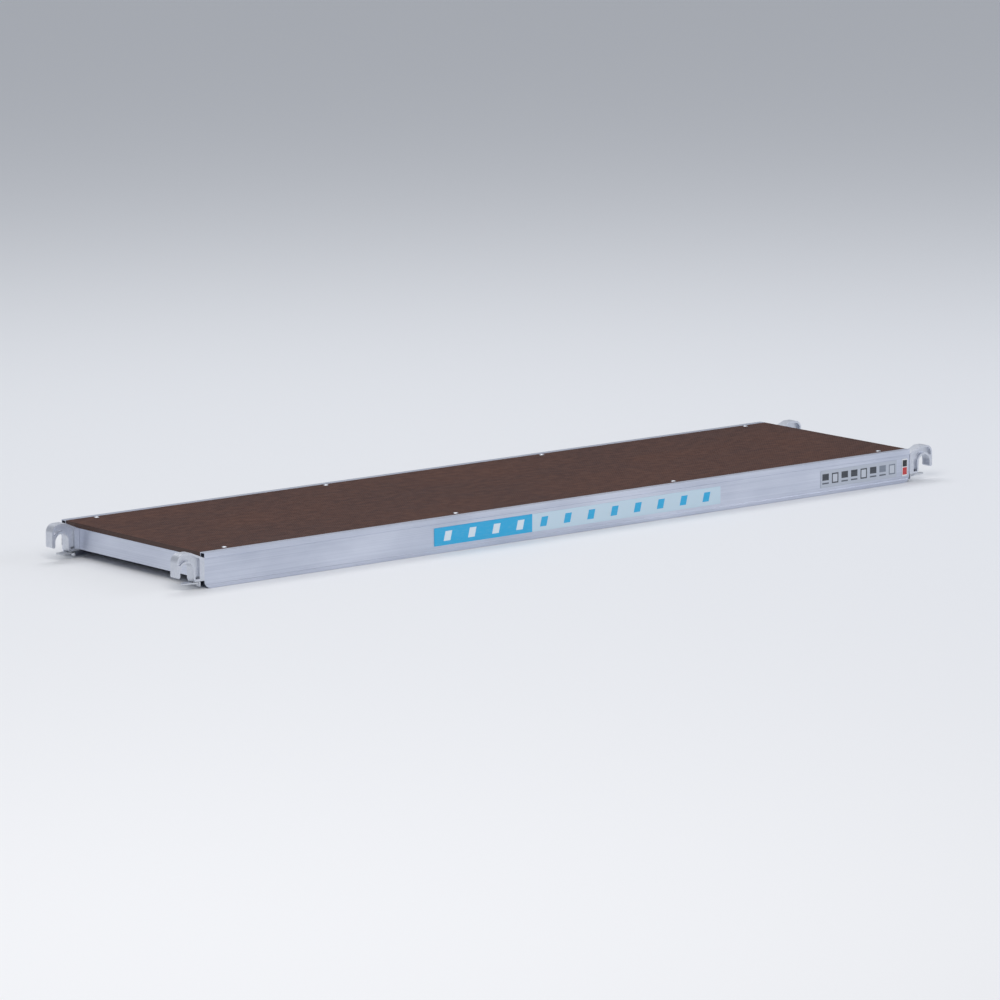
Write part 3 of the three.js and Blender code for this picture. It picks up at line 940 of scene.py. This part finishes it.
@dataclass
class LadderFrame:
    """Two extruded side rails with beams welded across between them."""

    rail_edge: float = 0.7 * MM  # rounding of the rails' edges
    beam_edge: float = 1.0 * MM  # rounding of the tubes' edges
    bead_radius: float = 3 * MM  # half the width of a weld bead
    bead_height: float = 0.55  # a ripple's height, as a share of its width
    bead_inset: float = 0.6 * MM  # how far a bead's middle lies in from the beam's end
    ripple: float = 2 * MM  # the pitch of a bead's ripples
    ledge_gap: float = 12 * MM  # how far below the beam's top a bead stops, under the board's ledge
    bead_foot: float = 1 * MM  # how far over the beam's underside the upright beads start
    beams: tuple[str, ...] = (  # the beams' nodes
        "end_beam_left", "cross_member_left", "cross_member_centre", "cross_member_right", "end_beam_right",
    )

    def build(self) -> None:
        """Builds the rails, the beams and the weld beads."""
        for side in Side:
            node = f"side_rail_{side.label}"
            rework(node, f"{node}_extrusion", self.rail_edge, RAIL_METAL)
        for node in self.beams:
            rework(node, f"{node}_tube", self.beam_edge, BEAM_METAL)
            for side in Side:
                self.weld(node, side)

    def ripple_row(self, start: Vector, along: Vector, length: float) -> Piece:
        """Lays a row of overlapping ripples.

        Args:
            start: Its start.
            along: The way it runs, of length 1.
            length: How far it runs.

        Returns:
            The row.
        """
        deselect_all()
        bpy.ops.mesh.primitive_uv_sphere_add(
            segments=10, ring_count=6, radius=self.bead_radius, location=start,
        )
        row = bpy.context.object
        row.rotation_euler = along.to_track_quat("Z", "Y").to_euler()
        row.scale = (1.0, 1.0, self.bead_height)
        seat(row)
        apply_modifier(
            row, "ARRAY", fit_type="FIXED_COUNT", count=max(2, int(length / self.ripple)),
            use_relative_offset=False, use_constant_offset=True, constant_offset_displace=along * self.ripple,
        )
        return row

    def weld(self, node: str, side: Side) -> None:
        """Lays a bead round one end of a beam, up both sides and along its underside.

        Args:
            node: The beam's node.
            side: The side of the plank that this end meets.
        """
        low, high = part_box(node)
        y = (high.y if side is Side.BACK else low.y) - side.outward * self.bead_inset
        foot = low.z + self.bead_foot
        rise = high.z - self.ledge_gap - foot
        rows = [
            self.ripple_row(Vector((low.x, y, foot)), Vector((0, 0, 1)), rise),
            self.ripple_row(Vector((high.x, y, foot)), Vector((0, 0, 1)), rise),
            self.ripple_row(Vector((low.x, y, low.z)), Vector((1, 0, 0)), high.x - low.x),
        ]
        bead = weld_together(rows, f"{node}_weld_{side.label}")
        smooth(bead, 60.0)
        dress(bead, FIXED_BODY, [], WELD_METAL)


@dataclass
class Board:
    """The film-faced plywood board and the rivets that hold it to the rails' ledges."""

    edge: float = 0.5 * MM  # rounding of the board's arrises
    rivets_per_side: int = 4  # rivets along each rail
    rivet_steps: int = 36  # steps round a rivet
    head_height: float = 2 * MM  # how far a rivet's head stands over its seat
    shank: float = 3 * MM  # a rivet's shank radius
    tail: float = 5.5 * MM  # radius of the bulbed tail
    tail_height: float = 3 * MM  # the bulb's height
    mandrel: float = 1.7 * MM  # radius of the dimple in the head

    def build(self) -> None:
        """Builds the board and its rivets."""
        board = rework("deck_board", "film_faced_board", self.edge, BOARD_TOP, BOARD_UNDERSIDE, BOARD_EDGE)
        for face in board.data.polygons:
            face.material_index = 0 if face.normal.z > 0.9 else 1 if face.normal.z < -0.9 else 2
        pattern = self.rivet_pattern()
        for side in Side:
            for i in range(1, self.rivets_per_side + 1):
                node = f"deck_rivet_{side.label}_{i}"
                low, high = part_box(node)
                middle = (low + high) / 2
                place = Matrix.Translation((middle.x, middle.y, 0))
                copy_for(node, "domed", pattern, place, RIVET_METAL)
        bpy.data.objects.remove(pattern)

    def rivet_pattern(self) -> Piece:
        """Turns one rivet about the Z axis: a large domed head with a mandrel dimple, and a bulbed tail.

        Returns:
            The pattern rivet, at its own height.
        """
        low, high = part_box("deck_rivet_front_1")
        head = (high.x - low.x) / 2
        top, under, bottom = high.z, high.z - self.head_height, low.z
        mandrel, shank, tail, bulb_top = self.mandrel, self.shank, self.tail, bottom + self.tail_height
        crown = [
            (0, top - 1.0 * MM), (mandrel * 0.8, top - 1.0 * MM), (mandrel, top - 0.75 * MM),
            (mandrel + 0.1 * MM, top - 0.2 * MM), (mandrel + 0.5 * MM, top),
            (0.45 * head, top - 0.08 * MM), (0.62 * head, top - 0.35 * MM), (0.78 * head, top - 0.8 * MM),
            (0.9 * head, top - 1.25 * MM), (0.975 * head, top - 1.6 * MM), (head, top - 1.85 * MM),
            (head - 0.05 * MM, under), (shank, under),
        ]
        foot = [
            (shank, bulb_top), (0.8 * tail, bulb_top - 0.1 * MM), (tail, bulb_top - 1.0 * MM),
            (0.96 * tail, bottom + 0.9 * MM), (0.75 * tail, bottom + 0.2 * MM), (0.4 * tail, bottom),
            (0, bottom),
        ]
        rivet = turned(crown + foot, self.rivet_steps)
        smooth(rivet, 50.0)
        return rivet


# ---- The hooks and their catches ----


@dataclass
class ClawHook:
    """One cast claw hook, in its own place about the rung's axis: +X inboard, +Z up."""

    rung_z: float = 50 * MM  # height of the rung's axis
    width: float = 28 * MM  # the casting's width along Y
    seat: float = 20.5 * MM  # radius of the half-round seat
    outer: float = 30 * MM  # how far the claw reaches past the rung's axis
    pad: float = 53.7 * MM  # how far inboard the mounting pad's face is
    top: float = 45 * MM  # the crown's height over the axis
    bottom: float = -29 * MM  # the pad's foot below the axis, as a negative height
    pad_top: float = 27.8 * MM  # the pad's upper edge over the axis
    crown_radius: float = 22 * MM  # radius of the crown's outer corner
    shoulder: float = 12 * MM  # where the level top ends, inboard of the axis
    lip_drop: float = 15 * MM  # the claw's tip below the axis
    rim: float = 5.5 * MM  # width of the rim round the pockets
    web: float = 12 * MM  # thickness of the web between the pockets
    lug: float = 6 * MM  # thickness of the lug below the window
    window: float = 6 * MM  # the window's height
    pivot: float = 32.35 * MM  # the catch's pivot, inboard of the axis
    pivot_bore: float = 4.4 * MM  # radius of the pivot's hole
    pocket_end: float = 38.7 * MM  # the pockets' inboard end
    claw_wall: float = 17 * MM  # height over the axis below which the claw is solid
    flare: float = 3.5 * MM  # how far the mouth flares inboard at its foot
    flare_height: float = 9 * MM  # how high the flare reaches over the foot
    corner_fillet: float = 2 * MM  # radius of the pockets' corners
    floor_fillet: float = 1.3 * MM  # radius between the pockets' walls and floor
    cast_radius: float = 1 * MM  # rounding of the casting's edges
    round_sides: int = 72  # corners round the seat and the rim that follows it

    @property
    def slope(self) -> Vector:
        """The outward normal of the sloping back."""
        return Vector((self.top - self.pad_top, 0, self.pad - self.shoulder)).normalized()

    @property
    def foot(self) -> float:
        """The height of the pad's foot."""
        return self.rung_z + self.bottom

    def build(self) -> Piece:
        """Casts the hook.

        Returns:
            The pattern hook, about the rung's axis in plan and at its own height.
        """
        half, far, z, foot = self.width / 2, self.width, self.rung_z, self.foot
        crown, lip, sill = z + self.top, z - self.lip_drop, foot + self.lug
        hook = block((-self.outer, -half, foot), (self.pad, half, crown))
        slice_off(hook, (self.shoulder, 0, crown), self.slope)
        round_off(hook, self.crown_radius, 14, lambda e: (
            spans(e, 1) and near(e.verts[0].co, x=-self.outer, z=crown)
        ), clamp=False)
        combine(hook, rod(self.seat, (0, -far, z), (0, far, z), self.round_sides))
        combine(hook, self.mouth_cutter())
        combine(hook, block((-2 * self.outer, -far, z - 2 * self.outer), (0, far, lip)))
        # Just under half the claw's thickness, so that the two roundings don't meet.
        round_off(hook, 0.48 * (self.outer - self.seat), 8, lambda e: (
            spans(e, 1) and near(e.verts[0].co, z=lip) and e.verts[0].co.x < 0
        ))
        for side in Side:
            combine(hook, self.pocket_cutter(side))
        combine(hook, block((self.seat + self.rim, -far, sill), (self.pocket_end, far, sill + self.window)))
        combine(hook, rod(self.pivot_bore, (self.pivot, 0, foot - 5 * MM), (self.pivot, 0, sill + 2 * MM)))
        ease(hook, self.cast_radius, 3, 38.0)
        return hook

    def mouth_cutter(self) -> Piece:
        """Makes the solid that opens the mouth downwards, flared at its inboard foot.

        Returns:
            The cutter.
        """
        far, foot = self.width, self.foot
        cutter = block((-self.seat, -far, foot + self.flare_height), (self.seat, far, self.rung_z))
        draw_down(cutter, self.flare_height)
        with edit(cutter, Pick.VERTICES, lambda v: near(v.co, x=self.seat, z=foot)):
            bpy.ops.transform.translate(value=(self.flare, 0, 0))
        draw_down(cutter, self.flare_height)
        return cutter

    def pocket_cutter(self, side: Side) -> Piece:
        """Makes the solid that sinks the pocket in one flank.

        Args:
            side: The flank.

        Returns:
            The cutter.
        """
        z, far, rim = self.rung_z, self.width, self.rim
        floor = side.outward * self.web / 2
        ys = sorted((floor, side.outward * (self.width / 2 + 4 * MM)))
        left, ceiling, deep = -self.outer + rim, z + self.top - rim, z + 2 * self.bottom
        cutter = block((left, ys[0], self.foot + self.lug), (self.pocket_end, ys[1], ceiling))
        slice_off(cutter, Vector((self.shoulder, 0, z + self.top)) - self.slope * rim, self.slope)
        round_off(cutter, self.crown_radius - rim, 12, lambda e: (
            spans(e, 1) and near(e.verts[0].co, x=left, z=ceiling)
        ), clamp=False)
        combine(cutter, rod(self.seat + rim, (0, -far, z), (0, far, z), self.round_sides))
        combine(cutter, block((-2 * self.outer, -far, deep), (0, far, z + self.claw_wall)))
        combine(cutter, block((-self.outer, -far, deep), (self.seat + rim, far, z)))
        corner = math.radians(40)
        round_off(cutter, self.corner_fillet, 4, lambda e: spans(e, 1) and e.calc_face_angle(0) > corner)
        round_off(cutter, self.floor_fillet, 3, lambda e: all(near(v.co, y=floor) for v in e.verts))
        return cutter


@dataclass
class Catch:
    """The catch that closes under the rung, its pivot rivet and its friction washer, for the left end."""

    top: float = 19 * MM  # the plate's upper face
    thickness: float = 4 * MM  # the plate's thickness
    hub: float = 11 * MM  # radius round the pivot
    tip: float = 7 * MM  # radius of the finger's end
    reach: float = 33.35 * MM  # from the pivot to the finger end's middle
    tail: float = 14 * MM  # from the pivot to the tail's end
    tab: float = 3.5 * MM  # thickness of the turned-down tab
    drop: float = 9 * MM  # how far the tab reaches below the plate
    bend: float = 3 * MM  # outer radius of the tab's bend
    bore: float = 4.4 * MM  # radius of the pivot's hole
    edge: float = 0.5 * MM  # rounding of the plate's edges
    shank: float = 4 * MM  # the rivet's shank radius
    rivet_tail: float = 5.5 * MM  # radius of the rivet's tail
    tail_height: float = 2.5 * MM  # height of the rivet's tail
    play: float = 0.3 * MM  # from the rivet's head to the plate
    gauge: float = 0.35 * MM  # half the washer's thickness
    rolled: float = 0.2 * MM  # how far the washer's edge is rolled over
    wave: float = 0.34 * MM  # how far the washer is waved up and down
    waves: int = 3  # waves round the washer

    def plate(self) -> Piece:
        """Cuts and bends the plate.

        Returns:
            The pattern catch, about its pivot in plan.
        """
        low, top, tab_x = self.top - self.thickness, self.top, self.tail - self.tab
        hub = rod(self.hub, (0, 0, low), (0, 0, top), 56)
        tip = rod(self.tip, (-self.reach, 0, low), (-self.reach, 0, top), 48)
        plate = weld_together([hub, tip], "catch_pattern")
        with edit(plate, Pick.VERTICES, everything):
            bpy.ops.mesh.convex_hull()
            bpy.ops.mesh.dissolve_limited(angle_limit=math.radians(1))
        tail = block((0, -self.tip, low), (self.tail, self.tip, top))
        with edit(tail, Pick.FACES, everything):
            bpy.ops.mesh.bisect(plane_co=(tab_x, 0, 0), plane_no=(1, 0, 0))
        draw_down(tail, self.drop, past=tab_x)
        round_off(tail, self.bend, 6, lambda e: spans(e, 1) and near(e.verts[0].co, x=self.tail, z=top))
        combine(plate, tail, "UNION")
        combine(plate, rod(self.bore, (0, 0, low - MM), (0, 0, top + MM), 40))
        ease(plate, self.edge, 2, 40.0)
        return plate

    def rivet(self) -> Piece:
        """Turns the pivot rivet.

        Returns:
            The pattern rivet, about the pivot in plan.
        """
        low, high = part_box("wind_lock_rivet_left_front")
        head, shank, tail = (high.y - low.y) / 2, self.shank, self.rivet_tail
        head_top = self.top - self.thickness - self.play
        tail_bottom = high.z - self.tail_height
        rivet = turned([
            (0, low.z), (0.45 * head, low.z + 0.08 * MM), (0.7 * head, low.z + 0.4 * MM),
            (0.88 * head, low.z + 1.0 * MM), (0.97 * head, low.z + 1.7 * MM), (head, low.z + 2.3 * MM),
            (head - 0.15 * MM, head_top), (shank, head_top), (shank, tail_bottom), (0.9 * tail, tail_bottom),
            (tail, tail_bottom + 0.7 * MM), (0.95 * tail, high.z - 0.7 * MM),
            (0.7 * tail, high.z - 0.15 * MM), (0, high.z),
        ], 36)
        smooth(rivet, 50.0)
        return rivet

    def washer(self) -> Piece:
        """Turns the friction washer and waves it.

        Returns:
            The pattern washer, about the pivot in plan.
        """
        low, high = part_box("wind_lock_washer_left_front")
        inner, outer = self.bore, (high.y - low.y) / 2
        middle, gauge, rolled = (low.z + high.z) / 2, self.gauge, self.rolled
        washer = turned([
            (inner, middle - gauge), (outer - rolled, middle - gauge), (outer, middle - gauge + rolled),
            (outer, middle + gauge - rolled), (outer - rolled, middle + gauge), (inner, middle + gauge),
        ], 60, closed=True)
        for vertex in washer.data.vertices:
            vertex.co.z += self.wave * math.sin(self.waves * math.atan2(vertex.co.y, vertex.co.x))
        smooth(washer, 50.0)
        return washer


@dataclass
class HookBolts:
    """The two hexagon bolts of a hook and their washers, on the end beam's inner face, for the left end."""

    flats: float = 13 * MM  # across the flats of the head
    head: float = 5.3 * MM  # the head's height
    face: float = 0.35 * MM  # thickness of the washer face under the head
    chamfer: float = 0.75 * MM  # height of the turned chamfer on its corners
    dish: float = 0.45 * MM  # how far the top is dished
    washer: float = 16 * MM  # the washer's diameter
    washer_bore: float = 4.2 * MM  # radius of the washer's hole
    washer_thickness: float = 1.6 * MM  # the washer's thickness
    rolled: float = 0.35 * MM  # how far the washer's upper edge is rolled over
    edge: float = 0.18 * MM  # rounding of the head's edges

    def hexagon(self) -> Piece:
        """Forges a chamfered head with a washer face and a shallow dished top, its axis along Z.

        Returns:
            The pattern head, standing on z = 0.
        """
        flat = self.flats / 2
        corner = flat / math.cos(math.pi / 6)
        head = rod(corner, (0, 0, 0), (0, 0, self.head), 6)
        past_corner = corner + 0.3 * MM
        turning = turned([
            (0, 0), (0.93 * flat, 0), (0.93 * flat, self.face), (flat, self.face), (past_corner, 0.9 * MM),
            (past_corner, self.head - self.chamfer), (0.96 * flat, self.head), (0.62 * flat, self.head),
            (0.56 * flat, self.head - 0.35 * MM), (0, self.head - self.dish),
        ], 48)
        combine(head, turning, "INTERSECT")
        ease(head, self.edge, 2, 30.0)
        return head

    def ring(self) -> Piece:
        """Stamps a flat washer with a rolled edge, its axis along Z.

        Returns:
            The pattern washer, standing on z = 0.
        """
        inner, outer, top, rolled = self.washer_bore, self.washer / 2, self.washer_thickness, self.rolled
        ring = turned([
            (inner, 0), (outer - 0.1 * MM, 0), (outer, 0.1 * MM), (outer, top - rolled),
            (outer - 0.12 * MM, top - 0.12 * MM), (outer - rolled, top), (inner, top),
        ], 44, closed=True)
        smooth(ring, 40.0)
        return ring


@dataclass
class HookSets:
    """All four hooks with their bolts and catches."""

    hook: ClawHook = field(default_factory=ClawHook)
    catch: Catch = field(default_factory=Catch)
    bolts: HookBolts = field(default_factory=HookBolts)

    def build(self) -> None:
        """Builds the patterns, then a set at each corner."""
        patterns = {
            "hook": self.hook.build(), "plate": self.catch.plate(), "rivet": self.catch.rivet(),
            "washer": self.catch.washer(), "hexagon": self.bolts.hexagon(), "ring": self.bolts.ring(),
        }
        for end in End:
            for side in Side:
                self.place(patterns, end, side)
        for pattern in patterns.values():
            bpy.data.objects.remove(pattern)

    def place(self, patterns: dict[str, Piece], end: End, side: Side) -> None:
        """Sets one corner's hook, bolts and catch in place.

        Args:
            patterns: The pattern pieces by name.
            end: The end of the plank.
            side: The side of the plank.
        """
        corner = f"{end.label}_{side.label}"
        low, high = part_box(f"hook_{corner}")
        rung_x = (high.x if end is End.LEFT else low.x) + end.outward * self.hook.pad
        turn = Matrix.Rotation(math.pi, 4, "Z") if end is End.RIGHT else Matrix.Identity(4)
        about_rung = Matrix.Translation((rung_x, (low.y + high.y) / 2, 0)) @ turn
        about_pivot = about_rung @ Matrix.Translation((self.hook.pivot, 0, 0))
        copy_for(f"hook_{corner}", "casting", patterns["hook"], about_rung, HOOK_METAL)
        copy_for(f"wind_lock_{corner}", "plate", patterns["plate"], about_pivot, ZINC, f"{corner}_catch")
        for part in ("rivet", "washer"):
            copy_for(f"wind_lock_{part}_{corner}", "turned", patterns[part], about_pivot, ZINC)
        for level in ("lower", "upper"):
            self.bolt(patterns, end, f"{corner}_{level}")

    def bolt(self, patterns: dict[str, Piece], end: End, spot: str) -> None:
        """Sets one bolt and its washer in place.

        Args:
            patterns: The pattern pieces by name.
            end: The end of the plank.
            spot: The corner's name and the bolt's level.
        """
        inboard = -end.outward
        to_x = Matrix.Rotation(inboard * math.pi / 2, 4, "Y")
        bolt, washer = f"hook_bolt_{spot}", f"bolt_washer_{spot}"
        low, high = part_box(bolt)
        y, z = (low.y + high.y) / 2, (low.z + high.z) / 2
        crest = high.x if inboard > 0 else low.x
        head = Matrix.Translation((crest - inboard * self.bolts.head, y, z)) @ to_x
        copy_for(bolt, "hexagon", patterns["hexagon"], head, ZINC)
        low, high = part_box(washer)
        ring = Matrix.Translation((low.x if inboard > 0 else high.x, y, z)) @ to_x
        copy_for(washer, "rolled", patterns["ring"], ring, ZINC)


# ---- The decals ----


@dataclass
class Decals:
    """The adhesive films on the front rail, printed with plain blocks and frames only."""

    edge: float = 0.12 * MM  # rounding of the films' edges

    def build(self) -> None:
        """Gives each film's node a copy with eased edges and its print."""
        for node, kind, name, slot in (
            ("decal_strip", StripPrint, "printed_strip_film", "blue_decal"),
            ("info_label", InfoPrint, "printed_label_film", "pale_decal"),
            ("end_marker", MarkerPrint, "printed_marker_film", "pale_decal"),
        ):
            low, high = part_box(node)
            ink = kind(name, slot, low.x, high.x, (low.z + high.z) / 2)
            rework(node, f"{node}_film", self.edge, ink, segments=1)


# ---- The studio ----


@dataclass(frozen=True)
class Lamp:
    """One soft area light."""

    name: str
    place: tuple[float, float, float]  # where it stands
    size: tuple[float, float]  # its width and height
    power: float  # its power in watts
    colour: str = "#ffffff"

    def light(self, aim: Vector) -> None:
        """Sets the lamp up, aimed at a point.

        Args:
            aim: The point.
        """
        deselect_all()
        bpy.ops.object.light_add(type="AREA", location=self.place)
        lamp = bpy.context.object
        lamp.name = self.name
        lamp.rotation_euler = (aim - lamp.location).to_track_quat("-Z", "Y").to_euler()
        lamp.data.shape = "RECTANGLE"
        lamp.data.size, lamp.data.size_y = self.size
        lamp.data.energy = self.power
        lamp.data.color = linear(self.colour)[:3]


@dataclass
class Studio:
    """A pale floor, soft light and the camera."""

    eye: Vector = field(default_factory=lambda: Vector((-9.757, -11.753, 2.770)))
    aim: Vector = field(default_factory=lambda: Vector((0.0, 0.0, 0.045)))
    lens: float = 212.5  # millimetres
    floor_size: float = 60.0
    lamps: tuple[Lamp, ...] = (
        Lamp("key_light", (-4.5, -4.0, 5.0), (4.0, 3.0), 200.0, "#fffaf4"),
        Lamp("fill_light", (5.5, -3.5, 3.0), (4.0, 3.0), 85.0, "#f2f5ff"),
        Lamp("top_light", (0.5, 2.5, 5.5), (6.0, 3.0), 115.0, "#ffffff"),
    )

    def build(self) -> None:
        """Sets up the floor, the light and the camera."""
        self.lay_floor()
        for lamp in self.lamps:
            lamp.light(self.aim)
        self.set_world()
        deselect_all()
        bpy.ops.object.camera_add(location=self.eye)
        camera = bpy.context.object
        camera.name = "studio_camera"
        camera.rotation_euler = (self.aim - self.eye).to_track_quat("-Z", "Y").to_euler()
        camera.data.lens = self.lens
        camera.data.clip_end = 200.0
        bpy.context.scene.camera = camera
        bpy.context.scene.view_settings.view_transform = "Standard"

    def lay_floor(self) -> None:
        """Lays a plain pale floor under the plank."""
        deselect_all()
        bpy.ops.mesh.primitive_plane_add(size=self.floor_size, location=(0, 0, -0.5 * MM))
        floor = bpy.context.object
        floor.name = "studio_floor"
        material = bpy.data.materials.new("matt_pale_paper")
        material.use_nodes = True
        shader = material.node_tree.nodes["Principled BSDF"]
        shader.inputs["Base Color"].default_value = linear("#eceef1")
        shader.inputs["Roughness"].default_value = 0.85
        floor.data.materials.append(material)

    def set_world(self) -> None:
        """Fills the room with pale light."""
        world = bpy.data.worlds.new("studio_room")
        world.use_nodes = True
        sky = world.node_tree.nodes["Background"]
        sky.inputs["Color"].default_value = linear("#eef2fa")
        sky.inputs["Strength"].default_value = 0.5
        bpy.context.scene.world = world


def main() -> None:
    """Builds the plank and the studio, piece by piece."""
    logging.basicConfig(level=logging.INFO, format="%(message)s")
    for assembly in (LadderFrame(), Board(), HookSets(), Decals(), Studio()):
        assembly.build()
        log.info("%s done", type(assembly).__name__)


if __name__ == "__main__":
    main()
